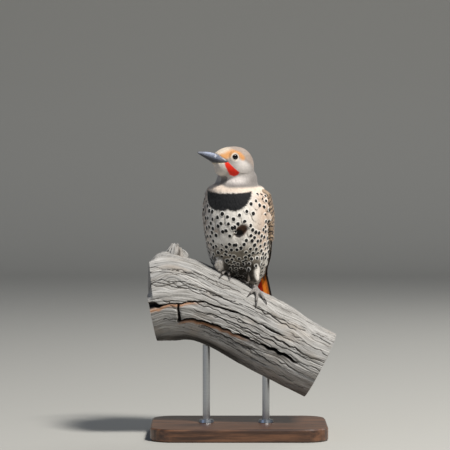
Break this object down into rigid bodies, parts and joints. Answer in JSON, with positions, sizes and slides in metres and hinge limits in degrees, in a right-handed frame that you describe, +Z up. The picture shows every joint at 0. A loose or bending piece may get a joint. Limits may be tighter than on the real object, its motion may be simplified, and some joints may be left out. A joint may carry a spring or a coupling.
{
  "type": "northern flicker woodpecker on a cut limb, display model",
  "caption": "Life-size still model of a perched male red-shafted northern flicker, gripping a short cut limb held by a flat stand with two rods.",
  "frame": {"origin": "centre of the stand base's underside, on the surface it stands on", "axes": "+Z up, through the bird's feet; the bird's front faces -Y, turned 14 degrees towards -X, its head turned further the same way; the limb falls towards +X"},
  "size_m": [0.2043, 0.136, 0.3132],
  "materials": {
    "head_plumage": "soft matt grey-brown feathers",
    "breast_plumage": "soft matt buff feathers with black spots",
    "wing_plumage": "grey-brown feathers barred with black",
    "tail_plumage": "stiff feathers, black above and orange-red below",
    "bill_horn": "smooth dark slate horn with a dull shine",
    "eye": "wet, near black",
    "leg_skin": "grey scaly skin",
    "claw": "dark polished horn",
    "perch_wood": "silver-grey weathered wood, bare of bark, cracked along the grain",
    "stand_wood": "dark stained hardwood, satin varnish",
    "stand_steel": "brushed steel"
  },
  "bodies": {
    "root": {"trunk": "breast_plumage", "neck": "head_plumage", "wing_left": "wing_plumage", "wing_right": "wing_plumage", "tail": "tail_plumage", "head": "head_plumage", "eye_left": "eye", "eye_right": "eye", "bill_upper": "bill_horn", "bill_lower": "bill_horn", "thigh_left": "breast_plumage", "thigh_right": "breast_plumage", "shank_left": "leg_skin", "shank_right": "leg_skin", "foot_left": "leg_skin", "foot_right": "leg_skin", "claw_left_1": "claw", "claw_left_2": "claw", "claw_left_3": "claw", "claw_left_4": "claw", "claw_right_1": "claw", "claw_right_2": "claw", "claw_right_3": "claw", "claw_right_4": "claw", "perch": "perch_wood", "stand_base": "stand_wood", "stand_rod_1": "stand_steel", "stand_rod_2": "stand_steel"}
  },
  "joints": []
}
